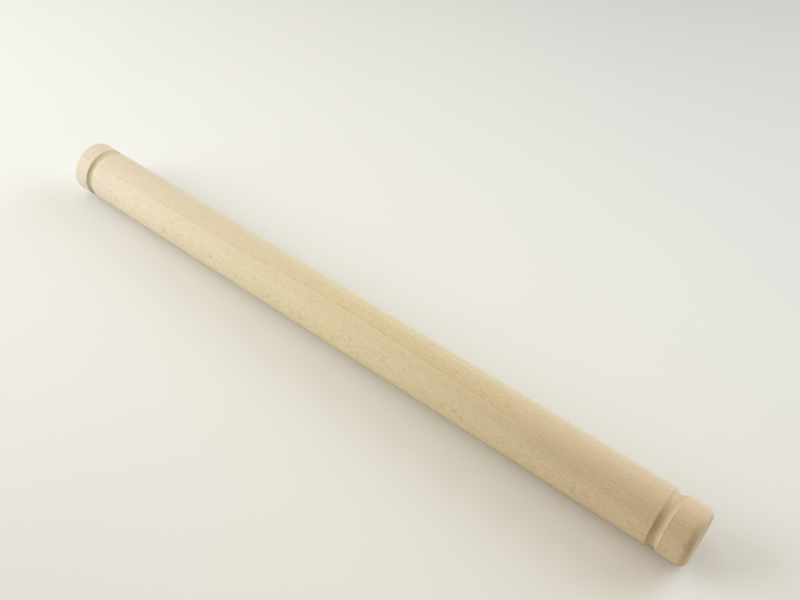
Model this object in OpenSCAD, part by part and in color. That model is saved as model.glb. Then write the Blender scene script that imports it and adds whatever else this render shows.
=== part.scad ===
/* [Barrel] */
// Diameter of the barrel, and of the knob at each end
barrel_d = 36.5; // [28:0.5:60]
// Length over both end faces
pin_len = 500; // [300:5:700]

/* [Knobs] */
// Length of each knob, from the edge of its groove to the end face
knob_len = 16; // [11:0.5:40]
// Radius that rounds each end over
end_round = 4.5; // [1:0.5:9]

/* [Grooves] */
// Width of each groove, measured on the barrel's surface
groove_w = 7; // [6:0.2:14]
// Depth of each groove below the barrel's surface
groove_depth = 2; // [0.8:0.1:3]
// Radius that softens both edges of each groove
lip_r = 0.4; // [0.1:0.05:0.8]

/* [Hidden] */

BEECH = [0.87, 0.80, 0.67];
// Sides that a preview gives the bar, and each full circle of its section
BAR_SIDES = 180;
ARC_SIDES = 96;
// How far a cut runs out past the surface that it cuts
over = 1;
// Degrees that the bar is turned about its axis, to keep its round faces' seam off the line it lies on
lie_turn = 4;

barrel_r = barrel_d / 2;
half_len = pin_len / 2;
groove_mid = half_len - knob_len - groove_w / 2;

// The groove is one arc through its two edges and its deepest point
cove_r = (pow(groove_w / 2, 2) + pow(groove_depth, 2)) / (2 * groove_depth);
// Height of the arc's centre above the barrel's surface
cove_rise = cove_r - groove_depth;

// Each softened edge is an arc that touches the barrel's surface and runs into the groove's arc
// The two arcs overlap by this much, so that they meet at any size
lip_bite = 0.00005;
lip_span = cove_r + lip_r - lip_bite;
// Distance along the barrel from the groove's middle to the softening arc's centre
lip_reach = sqrt(pow(lip_span, 2) - pow(cove_rise + lip_r, 2));
// Depth at which the two arcs meet
lip_meet = lip_r * (1 - (cove_rise + lip_r) / lip_span);

// Sections are drawn with the radius along X and the bar's length along Y

// Waste outside a roundover of radius r, with the square corner at the origin
module corner_waste(r) {
    difference() {
        translate([-r, -r]) square(r + over);
        translate([-r, -r]) circle(r, $fn = ARC_SIDES);
    }
}

// Waste of one groove, with its middle at the origin and the barrel's surface along Y
module groove_waste() {
    translate([cove_rise, 0]) circle(cove_r, $fn = ARC_SIDES);
    difference() {
        translate([-lip_meet, -lip_reach]) square([lip_meet + over, 2 * lip_reach]);
        for (side = [-1, 1])
            translate([-lip_r, side * lip_reach]) circle(lip_r, $fn = ARC_SIDES);
    }
}

// The bar's lengthwise section from its axis out, on one side of its middle
module half_section() {
    difference() {
        square([barrel_r, half_len]);
        translate([barrel_r, half_len]) corner_waste(end_round);
        translate([barrel_r, groove_mid]) groove_waste();
    }
}

// The same section over the whole length
module turned_section() {
    half_section();
    mirror([0, 1]) half_section();
}

// One bar of beech, turned in one piece: barrel, two grooves and two knobs
module rolling_pin() {
    color(BEECH)
        rotate([0, 90, 0])
            rotate([0, 0, lie_turn])
                rotate_extrude($fn = BAR_SIDES) turned_section();
}

rolling_pin();
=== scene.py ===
import bpy
import numpy as np
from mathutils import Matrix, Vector


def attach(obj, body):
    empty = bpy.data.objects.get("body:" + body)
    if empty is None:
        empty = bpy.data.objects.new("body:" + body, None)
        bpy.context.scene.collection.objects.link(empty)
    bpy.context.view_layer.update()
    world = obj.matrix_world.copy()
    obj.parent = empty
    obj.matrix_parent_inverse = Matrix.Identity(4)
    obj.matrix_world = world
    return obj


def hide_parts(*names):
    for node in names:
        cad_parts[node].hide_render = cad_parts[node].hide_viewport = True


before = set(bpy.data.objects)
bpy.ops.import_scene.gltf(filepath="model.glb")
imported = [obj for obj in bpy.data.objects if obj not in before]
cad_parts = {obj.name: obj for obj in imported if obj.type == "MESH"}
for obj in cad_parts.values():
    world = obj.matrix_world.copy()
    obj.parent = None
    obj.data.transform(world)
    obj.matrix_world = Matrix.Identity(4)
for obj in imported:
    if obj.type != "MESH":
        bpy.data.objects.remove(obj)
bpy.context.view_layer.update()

# Everything below is in metres, but the wood's pattern is worked out in millimetres.
millimetre = 0.001

# The camera stands above and in front of the near end and looks down along the pin.
photoView = {
    "place": (0.28315, -0.30035, 0.47639),
    "aimAt": (0.015918, 0.036062, 0.0),
    "lens": 43.990,
    "sensorWidth": 36.0,
    "clipStart": 0.02,
}


def setCamera(view):
    camera = bpy.data.objects.new("photoCamera", bpy.data.cameras.new("photoCamera"))
    bpy.context.scene.collection.objects.link(camera)
    camera.data.lens = view["lens"]
    camera.data.sensor_width = view["sensorWidth"]
    camera.data.clip_start = view["clipStart"]
    camera.location = view["place"]
    sight = Vector(view["aimAt"]) - Vector(view["place"])
    camera.rotation_mode = "QUATERNION"
    camera.rotation_quaternion = sight.to_track_quat("-Z", "Y")
    bpy.context.scene.camera = camera


setCamera(photoView)
print("camera set")


# Closed surface from rows of points: each row is one ring of points round the axis, the faces join
# every ring to the next, and a fan of triangles closes each end at its tip.
def closedSurface(name, rows, firstTip, lastTip):
    rowCount, around = rows.shape[:2]
    points = np.concatenate([rows.reshape(-1, 3), [firstTip, lastTip]])
    here = np.arange(rowCount * around).reshape(rowCount, around)
    beside = np.roll(here, -1, axis=1)
    quads = np.stack([here[:-1], beside[:-1], beside[1:], here[1:]], axis=-1).reshape(-1, 4)
    firstPoint, lastPoint = rowCount * around, rowCount * around + 1
    fans = np.concatenate([
        np.stack([beside[0], here[0], np.full(around, firstPoint)], axis=-1),
        np.stack([here[-1], beside[-1], np.full(around, lastPoint)], axis=-1),
    ])
    mesh = bpy.data.meshes.new(name)
    mesh.from_pydata(points.tolist(), [], quads.tolist() + fans.tolist())
    mesh.polygons.foreach_set("use_smooth", np.ones(len(mesh.polygons), bool))
    mesh.update()
    piece = bpy.data.objects.new(name, mesh)
    bpy.context.scene.collection.objects.link(piece)
    return piece


pinSizes = {
    "length": 0.500,
    "barrelDiameter": 0.0365,
    "knobLength": 0.016,
    "farArc": {"length": 0.0045, "depth": 0.0045},  # a quarter round
    "nearArc": {"length": 0.0045, "depth": 0.0030},  # meets the face at a crisp edge
    "grooveWidth": 0.007,
    "grooveDepth": 0.002,
    "lipRadius": 0.0004,
    "oval": 0.00003,  # what drying takes off the radius, level with the worktop
    "waves": 0.00003,  # what sanding takes off along the barrel, here and there
    "around": 256,
    "steps": {"barrel": 78, "lip": 8, "cove": 33, "knob": 8, "end": 24, "face": 16},
    "edgeRings": (0.0001, 0.0003),  # two rings on the face, this far in, keep its edge crisp
}


# Half of the turned profile, from the middle of the barrel to the middle of the end face, as x and
# radius: straight barrel, small arc over the groove's edge, the groove's hollow arc, small arc over
# its other edge, straight knob, the end's arc, flat face. The end's arc touches the knob's line and
# drops by its depth over its length.
def halfProfile(size, endArc):
    barrel, half = size["barrelDiameter"] / 2, size["length"] / 2
    width, depth, lip = size["grooveWidth"] / 2, size["grooveDepth"], size["lipRadius"]
    grooveMiddle = half - size["knobLength"] - width
    coveRadius = (width**2 + depth**2) / (2 * depth)
    coveRise = coveRadius - depth
    reach = np.sqrt((coveRadius + lip) ** 2 - (coveRise + lip) ** 2)
    lean = np.arctan2(reach, coveRise + lip)  # angle of the line through both arcs' centres
    steps = size["steps"]

    lipTurn = np.linspace(0, lean, steps["lip"])
    lipIn = [grooveMiddle - reach + lip * np.sin(lipTurn), barrel - lip + lip * np.cos(lipTurn)]
    coveTurn = np.linspace(-lean, lean, steps["cove"])[1:-1]
    cove = [grooveMiddle + coveRadius * np.sin(coveTurn),
            barrel + coveRise - coveRadius * np.cos(coveTurn)]
    lipOut = [2 * grooveMiddle - lipIn[0][::-1], lipIn[1][::-1]]

    arcLength, arcDepth = endArc["length"], endArc["depth"]
    arcRadius = (arcLength**2 + arcDepth**2) / (2 * arcDepth)
    roundTurn = np.linspace(0, np.arcsin(arcLength / arcRadius), steps["end"])
    roundOver = [half - arcLength + arcRadius * np.sin(roundTurn),
                 barrel - arcRadius + arcRadius * np.cos(roundTurn)]
    barrelLine = np.linspace(0, lipIn[0][0], steps["barrel"])[:-1]
    knobLine = np.linspace(lipOut[0][-1], roundOver[0][0], steps["knob"])[1:-1]
    edge = barrel - arcDepth
    faceLine = np.concatenate([edge - np.array(size["edgeRings"]),
                               np.linspace(edge, 0, steps["face"])[1:-1]])
    x = np.concatenate([barrelLine, lipIn[0], cove[0], lipOut[0], knobLine, roundOver[0],
                        np.full(len(faceLine), half)])
    r = np.concatenate([np.full(len(barrelLine), barrel), lipIn[1], cove[1], lipOut[1],
                        np.full(len(knobLine), barrel), roundOver[1], faceLine])
    return x, r


# What sanding leaves along the bar: radians per metre, start in radians, and weight.
sandingWaves = {
    "middle": {"rate": 71, "start": 0.6, "weight": 1.0},
    "short": {"rate": 163, "start": 2.0, "weight": 0.7},
    "long": {"rate": 37, "round": 2, "weight": 0.8},  # winds round the axis twice
}


# Sum of three sine waves along the bar over the sum of their weights, from -1 to 1. The start of
# the short one sways with the sine of the angle, and that of the long one grows with the angle.
def sandingWave(along, angle, waves):
    middle, short, long = waves["middle"], waves["short"], waves["long"]
    total = (np.sin(along * middle["rate"] + middle["start"]) * middle["weight"]
             + np.sin(along * short["rate"] + short["start"] + np.sin(angle)) * short["weight"]
             + np.sin(along * long["rate"] + angle * long["round"]) * long["weight"])
    return total / sum(wave["weight"] for wave in waves.values())


# Every point of the bar: the profile turned about the long axis, at x, -r sin(angle), r cos(angle),
# where r is the profile's radius less the oval and the sander's waves, so nothing stands proud of
# the true size. The attribute turningPath is the distance along the profile in millimetres, as the
# turner's tool went.
def turnBar(size):
    farX, farR = halfProfile(size, size["farArc"])
    nearX, nearR = halfProfile(size, size["nearArc"])
    x = np.concatenate([-farX[:0:-1], nearX])
    r = np.concatenate([farR[:0:-1], nearR])
    path = np.concatenate([[0], np.cumsum(np.hypot(np.diff(x), np.diff(r)))])
    path -= path[-1] / 2
    turn = np.linspace(0, 2 * np.pi, size["around"], endpoint=False)
    along, angle = x[:, None], turn[None, :]
    wave = sandingWave(along, angle, sandingWaves)
    share = np.clip(r / r.max(), 0, 1)[:, None]
    thinner = share * (size["oval"] * np.sin(angle) ** 2 + size["waves"] * (0.5 + 0.5 * wave))
    radius = r[:, None] - thinner
    rows = np.stack([np.broadcast_to(along, radius.shape), -radius * np.sin(angle),
                     radius * np.cos(angle)], axis=-1)
    half = size["length"] / 2
    bar = closedSurface("turnedBeechPin", rows, (-half, 0, 0), (half, 0, 0))
    lengths = np.concatenate([np.repeat(path, size["around"]), [path[0] - r[0], path[-1] + r[-1]]])
    turningPath = bar.data.attributes.new("turningPath", "FLOAT", "POINT")
    turningPath.data.foreach_set("value", (lengths / millimetre).astype(np.float32))
    return bar


pin = turnBar(pinSizes)
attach(pin, "root")
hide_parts("rolling_pin")
print("pin turned:", len(pin.data.polygons), "faces")


def newMaterial(name):
    material = bpy.data.materials.new(name)
    material.use_nodes = True
    material.node_tree.nodes.clear()
    return material


# Adds one node: a plain value is set on its socket, and a socket given as a value is linked to it.
def addNode(tree, kind, inputs, output=0, **settings):
    node = tree.nodes.new(kind)
    for key, value in settings.items():
        setattr(node, key, value)
    for key, value in inputs.items():
        if isinstance(value, bpy.types.NodeSocket):
            tree.links.new(value, node.inputs[key])
        else:
            node.inputs[key].default_value = value
    return node.outputs[output] if node.outputs else node


def calc(tree, operation, a, b=0.0, c=0.0):
    return addNode(tree, "ShaderNodeMath", {0: a, 1: b, 2: c}, operation=operation)


def calcVector(tree, operation, a, b=(0.0, 0.0, 0.0), output=0):
    return addNode(tree, "ShaderNodeVectorMath", {0: a, 1: b}, output, operation=operation)


# Smooth step of a value, from one result to another between two limits.
def easeBetween(tree, value, low, high, atLow=0.0, atHigh=1.0):
    return addNode(tree, "ShaderNodeMapRange", {
        "Value": value, "From Min": low, "From Max": high, "To Min": atLow, "To Max": atHigh,
    }, interpolation_type="SMOOTHSTEP")


# Noise from 0 to 1 whose lumps are about as long as the three lengths in size, in millimetres.
def lumps(tree, place, size, detail=2.0, roughness=0.5, shift=(0.0, 0.0, 0.0)):
    spot = calcVector(tree, "ADD", calcVector(tree, "DIVIDE", place, size), shift)
    return addNode(tree, "ShaderNodeTexNoise", {
        "Vector": spot, "Scale": 1.0, "Detail": detail, "Roughness": roughness,
    })


# Multiplies a tone by a colour, as far as the amount says.
def stain(tree, tone, amount, colour):
    return addNode(tree, "ShaderNodeMix", {0: amount, 6: tone, 7: (*colour, 1.0)}, 2,
                   data_type="RGBA", blend_type="MULTIPLY", clamp_factor=True)


# Makes a tone lighter and darker by the share given, as a noise says.
def vary(tree, tone, noise, share):
    gain = calc(tree, "MULTIPLY_ADD", noise, 2 * share, 1 - share)
    return addNode(tree, "ShaderNodeVectorMath", {0: tone, "Scale": gain}, operation="SCALE")


grain = {
    "heartAbove": 200.0,  # mm from the pin's axis up to the tree's heart
    "topLine": 0.58,  # mm below the pin's top that the first growth line lies at the dome's middle
    "dome": 1.9,  # mm that the rings sink from there towards the pin's ends
    "domeMiddle": 10.0,  # mm along the pin
    "domeLength": 130.0,  # mm
    "ringWidth": 4.15,  # mm
    "longWander": 0.06,  # rings, over a hand's breadth
    "longNoise": {"size": (70.0, 14.0, 14.0), "detail": 1.0, "shift": (3.1, 0.4, 7.7)},
    "shortWander": 0.07,  # rings, over a few millimetres
    "shortNoise": {"size": (8.0, 2.0, 2.0), "detail": 3.0, "roughness": 0.6,
                   "shift": (8.2, 5.5, 1.3)},
}


# Counts growth rings: how much further from the heart than the first line, less what the rings
# sink there, over the rings' width, plus a little wander. They sink by dome times
# 1 - exp(-offset squared), where the offset is x from the dome's middle over its length. Whole
# numbers are where one year's wood ends.
def ringCount(tree, place, x, y, z, grain):
    rise = calc(tree, "SUBTRACT", grain["heartAbove"], z)
    fromHeart = calc(tree, "SQRT", calc(tree, "ADD", calc(tree, "MULTIPLY", rise, rise),
                                       calc(tree, "MULTIPLY", y, y)))
    top = grain["heartAbove"] - pinSizes["barrelDiameter"] / 2 / millimetre
    below = calc(tree, "SUBTRACT", fromHeart, top + grain["topLine"] + grain["dome"])
    offset = calc(tree, "DIVIDE", calc(tree, "SUBTRACT", x, grain["domeMiddle"]),
                  grain["domeLength"])
    swell = calc(tree, "EXPONENT", calc(tree, "MULTIPLY", calc(tree, "MULTIPLY", offset, offset),
                                        -1.0))
    depth = calc(tree, "MULTIPLY_ADD", swell, grain["dome"], below)
    count = calc(tree, "DIVIDE", depth, grain["ringWidth"])
    slow = lumps(tree, place, **grain["longNoise"])
    quick = lumps(tree, place, **grain["shortNoise"])
    count = calc(tree, "ADD", count, calc(tree, "MULTIPLY_ADD", slow, 2 * grain["longWander"],
                                          -grain["longWander"]))
    return calc(tree, "ADD", count, calc(tree, "MULTIPLY_ADD", quick, 2 * grain["shortWander"],
                                         -grain["shortWander"]))


# Each kind of ray has its cells' size in mm, the plate's edge as a distance from the cell's middle,
# in cells, and the power of its random strength, which makes strong ones rare.
rays = {
    "large": {"size": (9.0, 1.3, 5.0), "edge": 0.36, "rarity": 2.2, "shift": (0.0, 0.0, 0.0)},
    "fine": {"size": (3.2, 0.7, 3.4), "edge": 0.38, "rarity": 1.0, "shift": (4.3, 9.1, 2.6)},
    "core": 0.4,  # share of the edge's distance inside which a plate is full
    "endStretch": 0.7,  # heights count this share less on end grain, so its lines are longer
}


# Rays are thin upright plates that fan out from the heart: Voronoi cells that are long along the
# pin, thin across it and tall, each with a plate at its middle and a strength of its own. On top
# they show as fine dashes, on the sides as flecks and on the end grain as radial lines.
def rayPlates(tree, x, y, z, endGrain, ray):
    fan = calc(tree, "DIVIDE", y, calc(tree, "MULTIPLY_ADD", z, -1 / grain["heartAbove"], 1.0))
    tall = calc(tree, "MULTIPLY", z, calc(tree, "MULTIPLY_ADD", endGrain, -rays["endStretch"], 1.0))
    spot = addNode(tree, "ShaderNodeCombineXYZ", {"X": x, "Y": fan, "Z": tall})
    spot = calcVector(tree, "ADD", calcVector(tree, "DIVIDE", spot, ray["size"]), ray["shift"])
    cells = addNode(tree, "ShaderNodeTexVoronoi", {"Vector": spot, "Scale": 1.0}).node
    strength = addNode(tree, "ShaderNodeSeparateColor", {"Color": cells.outputs["Color"]})
    strength = calc(tree, "POWER", strength, ray["rarity"])
    plate = easeBetween(tree, cells.outputs["Distance"], ray["edge"], ray["edge"] * rays["core"])
    return calc(tree, "MULTIPLY", plate, strength)


# Each set of two or four numbers here and in the wood below is an ease: the two values between
# which something changes, and its two strengths there, which are 0 and 1 if not given.
scaly = {
    "lean": -0.22,  # slope of the figure on the sides
    "bendSize": (9.0, 4.0, 4.0),  # mm
    "bend": 3.0,  # mm
    "noise": {"size": (3.0, 0.7, 0.7), "detail": 2.0, "roughness": 0.6, "shift": (1.7, 8.4, 3.3)},
    "front": (-9.0, -16.0, 0.62, 1.25),  # over y
    "nearBoost": 0.85,  # added on top of the near half
    "nearStart": (-60.0, 10.0),  # over x
    "nearTop": (-4.0, 0.0),  # over y
    "nearEnd": (150.0, 80.0, 0.45, 1.0),  # over x
    "inGrooves": 0.5,
}


# The wavy, scaly figure of sanded beech: 0.5 plus a strength for each place times noise less 0.5.
# The noise is stretched along the pin, bent by a slower noise, and leans on the sides.
def scalyFigure(tree, place, x, y, z, plain, scaly):
    lean = calc(tree, "MULTIPLY_ADD", x, scaly["lean"], z)
    spot = addNode(tree, "ShaderNodeCombineXYZ", {"X": x, "Y": y, "Z": lean})
    bend = addNode(tree, "ShaderNodeTexNoise", {
        "Vector": calcVector(tree, "DIVIDE", place, scaly["bendSize"]), "Scale": 1.0,
        "Detail": 1.0}, 1)
    bend = addNode(tree, "ShaderNodeVectorMath", {0: calcVector(
        tree, "SUBTRACT", bend, (0.5, 0.5, 0.5)), "Scale": scaly["bend"]}, operation="SCALE")
    noise = lumps(tree, calcVector(tree, "ADD", spot, bend), **scaly["noise"])
    low = easeBetween(tree, y, *scaly["front"])
    near = calc(tree, "MULTIPLY", easeBetween(tree, x, *scaly["nearStart"]),
                easeBetween(tree, y, *scaly["nearTop"]))
    near = calc(tree, "MULTIPLY", near, easeBetween(tree, x, *scaly["nearEnd"]))
    strength = calc(tree, "MULTIPLY", calc(tree, "MULTIPLY_ADD", near, scaly["nearBoost"], low),
                    calc(tree, "MULTIPLY_ADD", plain, 1 - scaly["inGrooves"], scaly["inGrooves"]))
    return calc(tree, "MULTIPLY_ADD", calc(tree, "SUBTRACT", noise, 0.5), strength, 0.5)


# Each dark fleck: place along the pin in mm, degrees from the top towards the front, half length
# and half width in mm, and strength.
darkFlecks = [
    (-214, 62, 2.5, 0.7, 0.5), (-211, 53, 3.4, 0.5, 0.5), (-202, 76, 2.0, 1.6, 0.7),
    (-192, 67, 2.2, 0.8, 0.5), (-183, 51, 5.0, 0.5, 0.5), (-168, 50, 3.6, 0.6, 0.5),
    (-151, 78, 2.2, 2.2, 0.9), (-145, 48, 3.0, 0.5, 0.6), (-136, 63, 2.4, 0.8, 0.5),
    (-123, 69, 2.8, 1.0, 0.6), (-105, 71, 2.4, 1.1, 0.9), (-98, 69, 1.8, 0.8, 0.5),
    (-81, 79, 2.2, 1.6, 0.5), (-67, 68, 2.8, 0.8, 0.5), (-52, 78, 1.5, 1.8, 1.0),
    (-42, 74, 2.4, 0.9, 0.5), (-33, 71, 2.4, 0.8, 0.6), (-23, 80, 1.5, 2.0, 0.8),
    (-17, 69, 1.8, 0.7, 0.5), (4, 79, 2.0, 1.8, 0.5), (48, 68, 3.0, 0.8, 0.5),
    (63, -26, 2.4, 1.6, 0.6), (90, 74, 1.8, 1.2, 0.7), (105, 81, 1.2, 1.6, 0.5),
    (114, 81, 1.4, 1.9, 0.7), (127, 42, 2.2, 0.5, 0.4), (164, 73, 1.4, 1.0, 0.5),
    (181, 81, 2.0, 2.0, 0.9), (219, 81, 1.6, 1.8, 0.5), (239, 80, 1.2, 1.6, 0.5),
    # The last four, on the near end's rounded edge, make a dark curl: partly a mark and partly
    # painted shade where the edge turns away.
    (245.5, 23, 1.1, 0.9, 1.0), (246, 53, 0.9, 2.2, 0.9), (244, 64, 0.7, 1.6, 0.8),
    (245.5, 74, 1.2, 0.8, 0.7),
]


fleckOutline = {
    "noiseSize": (2.0, 1.0, 1.0),  # mm
    "ragged": (4.0, 1.5, 1.5),  # mm
    "outer": 1.1,  # scaled distances from the middle between which a fleck fades in
    "inner": 0.2,
}


# Scaled distance from each fleck's middle, at places shifted by noise so that the outlines are
# ragged: the fleck's strength at its middle, 0 outside.
def fleckMask(tree, place, flecks, outline):
    radius = pinSizes["barrelDiameter"] / 2 / millimetre
    noise = addNode(tree, "ShaderNodeTexNoise", {
        "Vector": calcVector(tree, "DIVIDE", place, outline["noiseSize"]), "Scale": 1.0,
        "Detail": 2.0}, 1)
    shift = calcVector(tree, "MULTIPLY", calcVector(tree, "SUBTRACT", noise, (0.5, 0.5, 0.5)),
                       outline["ragged"])
    ragged = calcVector(tree, "ADD", place, shift)
    total = None
    for along, degrees, halfLength, halfWidth, strength in flecks:
        turn = np.radians(degrees)
        middle = (along, -radius * np.sin(turn), radius * np.cos(turn))
        gap = calcVector(tree, "DIVIDE", calcVector(tree, "SUBTRACT", ragged, middle),
                         (halfLength, halfWidth, halfWidth))
        distance = calcVector(tree, "LENGTH", gap, output=1)
        mask = easeBetween(tree, distance, outline["outer"], outline["inner"], 0.0, strength)
        total = mask if total is None else calc(tree, "MAXIMUM", total, mask)
    return total


beech = {
    "farTone": (0.695, 0.597, 0.462),
    "middleTone": (0.688, 0.590, 0.376),
    "nearTone": (0.605, 0.468, 0.308),
    "lateWood": (0.915, 0.89, 0.86),  # what the end of a year's growth multiplies the tone by
    "earlyWood": (1.03, 1.03, 1.035),  # the same for the paler wood that follows it
    "yearDrift": (0.98, 0.97, 0.955),  # the same for the slow darkening before it
    "topBand": (0.995, 0.975, 0.945),  # the warm stripe between the two top growth lines
    "streakShadeTone": (0.925, 0.92, 0.92),  # painted shade: a darker streak along the front of the near half
    "farFrontTone": (0.94, 0.95, 0.97),  # the front of the far end
    "rayTone": (0.87, 0.83, 0.77),
    "fleckTone": (0.80, 0.75, 0.67),
    # inside the grooves: end grain and dirt, and partly painted shade in the hollow
    "grooveDirtAndShade": (0.92, 0.925, 0.81),
    "farWallShadeTone": (0.86, 0.85, 0.72),  # painted shade on the far groove's wall on the knob's side
    "rimSheenTone": (1.02, 1.035, 1.09),  # painted sheen, paler and bluer, on the rounded edges of both ends, where the fibres run out
    # painted shade on the underside, towards the worktop
    "underShadeTone": (0.84, 0.80, 0.72),
    "lipShadeTone": (0.86, 0.83, 0.80),  # painted shade that dims the highlight on the near groove's edge on the knob's side, on the front
    "endTone": (0.91, 0.87, 0.81),
    "toneWander": 80.0,  # mm that the clouds shift the tone along the pin
    "roughness": 0.62,
    "fibreRoughness": 0.16,
    "rayRoughness": -0.12,
    "relief": 0.00004,  # metres
    "toolStep": 0.55,  # mm from one tool ring to the next
}

figures = {
    "fibres": {"size": (26.0, 0.9, 0.9), "detail": 3.0, "roughness": 0.6},
    "pores": {"size": (2.2, 0.3, 0.3), "detail": 2.0, "roughness": 0.6, "shift": (2.0, 6.0, 4.0)},
    "patches": {"size": (9.0, 2.5, 2.5), "detail": 2.0, "shift": (7.0, 3.0, 1.0)},
    "cloud": {"size": (40.0, 12.0, 12.0), "detail": 2.0, "shift": (5.0, 1.0, 9.0)},
}

# How far each figure makes the tone lighter and darker, and how it stands out in the relief
toneShares = {"scales": 0.17, "patches": 0.03, "fibres": 0.04, "pores": 0.09}
heights = {"fibres": 0.8, "pores": 0.6, "largeRays": -0.3, "scales": 1.0, "flecks": -0.8,
           "toolWave": 0.3}

# Where each effect comes and goes: x, y and z in mm from the pin's middle, with the front below 0
# in y, years as counted by the rings, and slopes as the share of the surface's direction that lies
# along the pin.
eases = {
    "endGrain": (0.3, 0.95),  # over the slope
    "endFace": (0.9, 0.99),  # over the slope
    "lateStart": (0.9, 0.97),  # over the year
    "lateEnd": (1.0, 0.985),
    "earlyStart": (0.0, 0.02),
    "earlyEnd": (0.16, 0.03),
    "drift": (0.1, 0.9),
    "olderRings": (0.0, 2.5, 1.0, 0.25),  # over the rings' count
    "frontRings": (3.0, -1.0, 0.2, 1.0),  # over y
    "topBand": (0.2, -0.03),  # over the rings' count
    "topBandFar": (-140.0, 20.0, 0.1, 1.0),  # over x
    "topBandNear": (90.0, 200.0, 1.0, 0.6),
    "broken": (0.35, 0.6, 0.25, 1.0),  # over the patches
    "streakLow": (-6.5, -9.5),  # over y
    "streakHigh": (-16.5, -13.0),
    "streakStart": (90.0, 160.0),  # over x
    "farFrontEnd": (-185.0, -235.0),  # over x
    "farFrontSide": (-5.0, -10.0),  # over y
    "mottle": (0.4, 0.6, 0.4, 1.0),  # over the cloud
    "grooveAlong": (-200.0, 200.0, 0.55, 1.0),  # over x
    "farWall": (0.35, 0.75),  # over the slope
    "farWallSide": (-12.0, 3.0, 0.45, 1.0),  # over y
    "lipFront": (-2.0, -8.0),  # over y
    "rim": (0.2, 0.6),  # over the slope
    "under": (-2.5, -8.0),  # over z
    "endRings": (0.15, 0.95, 0.35, 1.0),  # over the year
}
grooveDepths = (0.2, 1.2)  # mm below the surface between which the groove's stain comes in
grooveReach = 1.0  # mm past the knob's start, where the groove's stain stops
rimReach = 6.0  # mm past the knob's start, where the rim's tone may start
lipRange = {"start": (-0.9, -0.3), "end": (1.0, 0.5)}  # mm from the knob's start


# The wood's tone: a straight blend along the pin from the far tone to the middle one, and from that
# to the near one, at a place that the clouds shift by up to half the wander each way.
def toneAlong(tree, x, cloud, beech):
    wander = beech["toneWander"]
    place = calc(tree, "MULTIPLY_ADD", cloud, wander, calc(tree, "SUBTRACT", x, wander / 2))
    half = pinSizes["length"] / 2 / millimetre
    toMiddle = addNode(tree, "ShaderNodeMapRange", {"Value": place, "From Min": -half,
                                                    "From Max": 0.0})
    toNear = addNode(tree, "ShaderNodeMapRange", {"Value": place, "From Min": 0.0,
                                                  "From Max": half})
    tone = addNode(tree, "ShaderNodeMix", {0: toMiddle, 6: (*beech["farTone"], 1.0),
                                           7: (*beech["middleTone"], 1.0)}, 2, data_type="RGBA")
    return addNode(tree, "ShaderNodeMix", {0: toNear, 6: tone, 7: (*beech["nearTone"], 1.0)}, 2,
                   data_type="RGBA")


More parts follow.
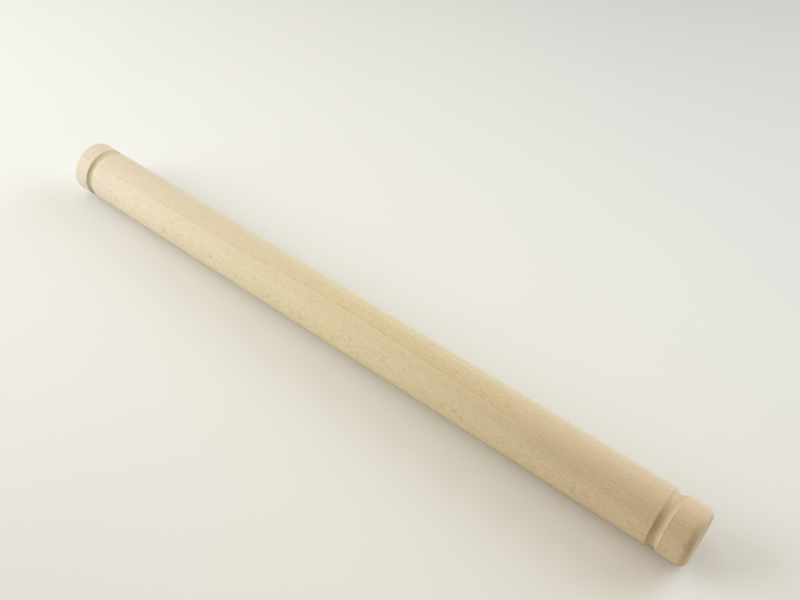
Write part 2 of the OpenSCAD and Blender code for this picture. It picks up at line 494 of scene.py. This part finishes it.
def beechMaterial(beech):
    material = newMaterial("rawBeech")
    tree = material.node_tree
    coordinates = addNode(tree, "ShaderNodeTexCoord", {}).node
    place = addNode(tree, "ShaderNodeVectorMath",
                    {0: coordinates.outputs["Object"], "Scale": 1 / millimetre}, operation="SCALE")
    x = addNode(tree, "ShaderNodeSeparateXYZ", {0: place}, 0)
    y = x.node.outputs[1]
    z = x.node.outputs[2]
    facing = addNode(tree, "ShaderNodeSeparateXYZ", {0: coordinates.outputs["Normal"]}, 0)
    acrossFibres = calc(tree, "ABSOLUTE", facing)
    endGrain = easeBetween(tree, acrossFibres, *eases["endGrain"])
    endFace = easeBetween(tree, acrossFibres, *eases["endFace"])

    # The grooves, by their depth below the barrel's surface
    fromAxis = calc(tree, "SQRT", calc(tree, "ADD", calc(tree, "MULTIPLY", y, y),
                                       calc(tree, "MULTIPLY", z, z)))
    surfaceRadius = pinSizes["barrelDiameter"] / 2 / millimetre
    knobStart = (pinSizes["length"] / 2 - pinSizes["knobLength"]) / millimetre
    top, deep = [surfaceRadius - depth for depth in grooveDepths]
    groove = calc(tree, "MULTIPLY", easeBetween(tree, fromAxis, top, deep),
                  calc(tree, "LESS_THAN", calc(tree, "ABSOLUTE", x), knobStart + grooveReach))
    plain = calc(tree, "SUBTRACT", 1.0, groove)

    # Growth rings: each year's wood darkens slowly and ends in a thin line, clearest at the top
    count = ringCount(tree, place, x, y, z, grain)
    year = calc(tree, "FRACT", count)
    lateWood = calc(tree, "MULTIPLY", easeBetween(tree, year, *eases["lateStart"]),
                    easeBetween(tree, year, *eases["lateEnd"]))
    earlyWood = calc(tree, "MULTIPLY", easeBetween(tree, year, *eases["earlyStart"]),
                     easeBetween(tree, year, *eases["earlyEnd"]))
    fade = calc(tree, "MULTIPLY", easeBetween(tree, count, *eases["olderRings"]),
                calc(tree, "SUBTRACT", 1.0, endGrain))
    fade = calc(tree, "MULTIPLY", fade, plain)
    front = easeBetween(tree, y, *eases["frontRings"])
    yearDrift = calc(tree, "MULTIPLY", easeBetween(tree, year, *eases["drift"]), fade)
    topBand = calc(tree, "MULTIPLY", easeBetween(tree, count, *eases["topBand"]),
                   easeBetween(tree, x, *eases["topBandFar"]))
    topBand = calc(tree, "MULTIPLY", calc(tree, "MULTIPLY", topBand, plain),
                   easeBetween(tree, x, *eases["topBandNear"]))

    fibres = lumps(tree, place, **figures["fibres"])
    pores = lumps(tree, place, **figures["pores"])
    patches = lumps(tree, place, **figures["patches"])
    cloud = lumps(tree, place, **figures["cloud"])
    largeRays = calc(tree, "MULTIPLY", rayPlates(tree, x, y, z, endGrain, rays["large"]), plain)
    fineRays = calc(tree, "MULTIPLY", rayPlates(tree, x, y, z, endGrain, rays["fine"]), plain)
    scales = scalyFigure(tree, place, x, y, z, plain, scaly)
    flecks = fleckMask(tree, place, darkFlecks, fleckOutline)

    tone = toneAlong(tree, x, cloud, beech)
    # Painted shade: a darker streak along the front of the near half.
    streak = calc(tree, "MULTIPLY", easeBetween(tree, y, *eases["streakLow"]),
                  easeBetween(tree, y, *eases["streakHigh"]))
    streak = calc(tree, "MULTIPLY", streak, easeBetween(tree, x, *eases["streakStart"]))
    tone = stain(tree, tone, streak, beech["streakShadeTone"])
    farFront = calc(tree, "MULTIPLY", easeBetween(tree, x, *eases["farFrontEnd"]),
                    easeBetween(tree, y, *eases["farFrontSide"]))
    tone = stain(tree, tone, farFront, beech["farFrontTone"])
    tone = stain(tree, tone, topBand, beech["topBand"])
    tone = stain(tree, tone, yearDrift, beech["yearDrift"])
    broken = easeBetween(tree, patches, *eases["broken"])
    broken = calc(tree, "MULTIPLY", calc(tree, "MULTIPLY", broken, fade), front)
    tone = stain(tree, tone, calc(tree, "MULTIPLY", lateWood, broken), beech["lateWood"])
    tone = stain(tree, tone, calc(tree, "MULTIPLY", earlyWood, broken), beech["earlyWood"])
    tone = stain(tree, tone, largeRays, beech["rayTone"])
    tone = stain(tree, tone, fineRays, beech["rayTone"])
    # Darker and yellower inside the grooves, in patches and more towards the near end: end grain
    # and dirt, and partly painted shade in the hollow.
    mottle = easeBetween(tree, cloud, *eases["mottle"])
    mottle = calc(tree, "MULTIPLY", mottle, easeBetween(tree, x, *eases["grooveAlong"]))
    tone = stain(tree, tone, calc(tree, "MULTIPLY", groove, mottle), beech["grooveDirtAndShade"])
    # Painted shade on the far groove's wall on the knob's side, where it faces the near end.
    farWall = calc(tree, "MULTIPLY", calc(tree, "LESS_THAN", x, 0.0),
                   easeBetween(tree, facing, *eases["farWall"]))
    farWall = calc(tree, "MULTIPLY", farWall, easeBetween(tree, y, *eases["farWallSide"]))
    tone = stain(tree, tone, farWall, beech["farWallShadeTone"])
    # Painted shade that dims the highlight on the near groove's edge on the knob's side, on the
    # front.
    lip = calc(tree, "MULTIPLY", easeBetween(tree, x, *[knobStart + s for s in lipRange["start"]]),
               easeBetween(tree, x, *[knobStart + s for s in lipRange["end"]]))
    lip = calc(tree, "MULTIPLY", lip, easeBetween(tree, y, *eases["lipFront"]))
    tone = stain(tree, tone, lip, beech["lipShadeTone"])
    # Painted sheen: paler and bluer on the rounded edges of both ends.
    rim = calc(tree, "MULTIPLY", easeBetween(tree, acrossFibres, *eases["rim"]),
               calc(tree, "GREATER_THAN", calc(tree, "ABSOLUTE", x), knobStart + rimReach))
    tone = stain(tree, tone, rim, beech["rimSheenTone"])
    # Painted shade: the underside darker towards the worktop, except on end grain.
    under = calc(tree, "MULTIPLY", easeBetween(tree, z, *eases["under"]),
                 calc(tree, "SUBTRACT", 1.0, endGrain))
    tone = stain(tree, tone, under, beech["underShadeTone"])
    endRings = calc(tree, "MULTIPLY", endFace, easeBetween(tree, year, *eases["endRings"]))
    tone = stain(tree, tone, endRings, beech["endTone"])
    tone = stain(tree, tone, flecks, beech["fleckTone"])
    tone = vary(tree, tone, scales, toneShares["scales"])
    tone = vary(tree, tone, patches, toneShares["patches"])
    tone = vary(tree, tone, fibres, toneShares["fibres"])
    tone = vary(tree, tone, pores, toneShares["pores"])

    spread = beech["fibreRoughness"]
    roughness = calc(tree, "MULTIPLY_ADD", fibres, spread, beech["roughness"] - spread / 2)
    roughness = calc(tree, "MULTIPLY_ADD", largeRays, beech["rayRoughness"], roughness)

    toolRings = addNode(tree, "ShaderNodeAttribute", {}, 2, attribute_name="turningPath")
    toolWave = calc(tree, "SINE", calc(tree, "MULTIPLY", toolRings, 2 * np.pi / beech["toolStep"]))
    toolWave = calc(tree, "MULTIPLY", toolWave, endGrain)
    height = calc(tree, "MULTIPLY_ADD", fibres, heights["fibres"],
                  calc(tree, "MULTIPLY", pores, heights["pores"]))
    height = calc(tree, "MULTIPLY_ADD", largeRays, heights["largeRays"], height)
    height = calc(tree, "MULTIPLY_ADD", scales, heights["scales"], height)
    height = calc(tree, "MULTIPLY_ADD", flecks, heights["flecks"], height)
    height = calc(tree, "MULTIPLY_ADD", toolWave, heights["toolWave"], height)
    normal = addNode(tree, "ShaderNodeBump", {"Height": height, "Distance": beech["relief"],
                                              "Strength": 1.0})
    surface = addNode(tree, "ShaderNodeBsdfPrincipled", {
        "Base Color": tone, "Roughness": roughness, "Normal": normal})
    addNode(tree, "ShaderNodeOutputMaterial", {"Surface": surface})
    return material


pin.data.materials.append(beechMaterial(beech))
print("beech finished")

studio = {
    "floorTone": (0.838, 0.837, 0.809),
    "floorSize": 6.0,
    "floorRoughness": 0.9,
    "floorCloud": (90.0, 90.0, 90.0),  # mm
    "floorVary": 0.008,  # share lighter and darker
    "fallOff": {"middle": (0.173, -0.047, 0.0), "turned": -11.3,  # metres and degrees
                "reach": (1.67, 0.72, 1.0)},
    "leastShare": 0.58,  # of its own tone, however far out
    "fadeFrom": 0.66,  # metres from the middle, where the card starts to fade into the backdrop
    "fadeTo": 0.95,
    "skyTone": (1.0, 0.79, 0.52),
    "skyStrength": 0.42,
    "backdropTone": (0.97, 0.97, 0.96),
}


# Pale card whose tone falls off round the pin as 1 / (1 + distance squared), a painted fall-off of
# the light, the distance being measured in reaches, but not below the least share. Far out it fades
# into the backdrop.
def floorMaterial(studio):
    material = newMaterial("paleCard")
    tree = material.node_tree
    place = addNode(tree, "ShaderNodeVectorMath", {
        0: addNode(tree, "ShaderNodeTexCoord", {}, 3), "Scale": 1 / millimetre}, operation="SCALE")
    cloud = lumps(tree, place, studio["floorCloud"])
    tone = addNode(tree, "ShaderNodeRGB", {})
    tone.default_value = (*studio["floorTone"], 1.0)
    tone = vary(tree, tone, cloud, studio["floorVary"])
    # Painted fall-off of the light: the card darker away from the pin.
    fallOff = studio["fallOff"]
    away = addNode(tree, "ShaderNodeMapping", {
        "Vector": addNode(tree, "ShaderNodeTexCoord", {}, 3), "Location": fallOff["middle"],
        "Rotation": (0.0, 0.0, np.radians(fallOff["turned"])), "Scale": fallOff["reach"],
    }, vector_type="TEXTURE")
    flat = calcVector(tree, "MULTIPLY", away, (1.0, 1.0, 0.0))
    squared = calcVector(tree, "DOT_PRODUCT", flat, flat, output=1)
    share = calc(tree, "DIVIDE", 1.0, calc(tree, "ADD", squared, 1.0))
    share = calc(tree, "MAXIMUM", share, studio["leastShare"])
    tone = addNode(tree, "ShaderNodeVectorMath", {0: tone, "Scale": share}, operation="SCALE")
    distance = calcVector(tree, "LENGTH", addNode(tree, "ShaderNodeTexCoord", {}, 3), output=1)
    card = easeBetween(tree, distance, studio["fadeTo"], studio["fadeFrom"])
    surface = addNode(tree, "ShaderNodeBsdfPrincipled", {
        "Base Color": tone, "Roughness": studio["floorRoughness"], "Alpha": card})
    addNode(tree, "ShaderNodeOutputMaterial", {"Surface": surface})
    return material


# A flat square of card under the pin, at the height of the line that the pin lies on.
def layFloor(studio, height):
    half = studio["floorSize"] / 2
    mesh = bpy.data.meshes.new("floor")
    corners = [(-half, -half, height), (half, -half, height), (half, half, height),
               (-half, half, height)]
    mesh.from_pydata(corners, [], [(0, 1, 2, 3)])
    floor = bpy.data.objects.new("floor", mesh)
    bpy.context.scene.collection.objects.link(floor)
    mesh.materials.append(floorMaterial(studio))


# A soft sky that lights the scene, which the camera and reflections see as a pale backdrop.
def hangSky(studio):
    world = bpy.data.worlds.new("softRoom")
    bpy.context.scene.world = world
    world.use_nodes = True
    tree = world.node_tree
    tree.nodes.clear()
    sky = addNode(tree, "ShaderNodeBackground", {"Color": (*studio["skyTone"], 1.0),
                                                 "Strength": studio["skyStrength"]})
    backdrop = addNode(tree, "ShaderNodeBackground", {"Color": (*studio["backdropTone"], 1.0),
                                                      "Strength": 1.0})
    lightPath = addNode(tree, "ShaderNodeLightPath", {}).node
    seen = calc(tree, "MAXIMUM", lightPath.outputs["Is Camera Ray"], calc(
        tree, "MAXIMUM", lightPath.outputs["Is Glossy Ray"],
        lightPath.outputs["Is Transmission Ray"]))
    both = addNode(tree, "ShaderNodeMixShader", {0: seen, 1: sky, 2: backdrop})
    addNode(tree, "ShaderNodeOutputWorld", {"Surface": both})


lamps = {
    "windowLamp": {"distance": 1.2, "rise": 20, "bearing": 210, "power": 16.2,
                   "tone": (0.85, 0.945, 1.0)},
    "roomLamp": {"distance": 1.2, "rise": 20, "bearing": 60, "power": 13.5,
                 "tone": (0.73, 0.865, 1.0)},
    "topLamp": {"distance": 1.2, "rise": 60, "bearing": 150, "power": 2.9,
                "tone": (0.96, 0.97, 1.0)},
}
lampWidth = 1.2  # metres


# Round soft lamps that face the pin's middle, each at a distance in metres from it, and at a rise
# above level and a bearing from the pin's length in degrees.
def hangLamps(lamps):
    for name, lamp in lamps.items():
        light = bpy.data.lights.new(name, "AREA")
        light.shape = "DISK"
        light.size = lampWidth
        light.energy = lamp["power"]
        light.color = lamp["tone"]
        holder = bpy.data.objects.new(name, light)
        bpy.context.scene.collection.objects.link(holder)
        rise, bearing = np.radians(lamp["rise"]), np.radians(lamp["bearing"])
        place = lamp["distance"] * Vector((np.cos(rise) * np.cos(bearing),
                                           np.cos(rise) * np.sin(bearing), np.sin(rise)))
        holder.location = place
        holder.rotation_mode = "QUATERNION"
        holder.rotation_quaternion = (-place).to_track_quat("-Z", "Y")


layFloor(studio, -pinSizes["barrelDiameter"] / 2)
hangSky(studio)
hangLamps(lamps)
bpy.context.scene.view_settings.view_transform = "Standard"
print("floor and light set")
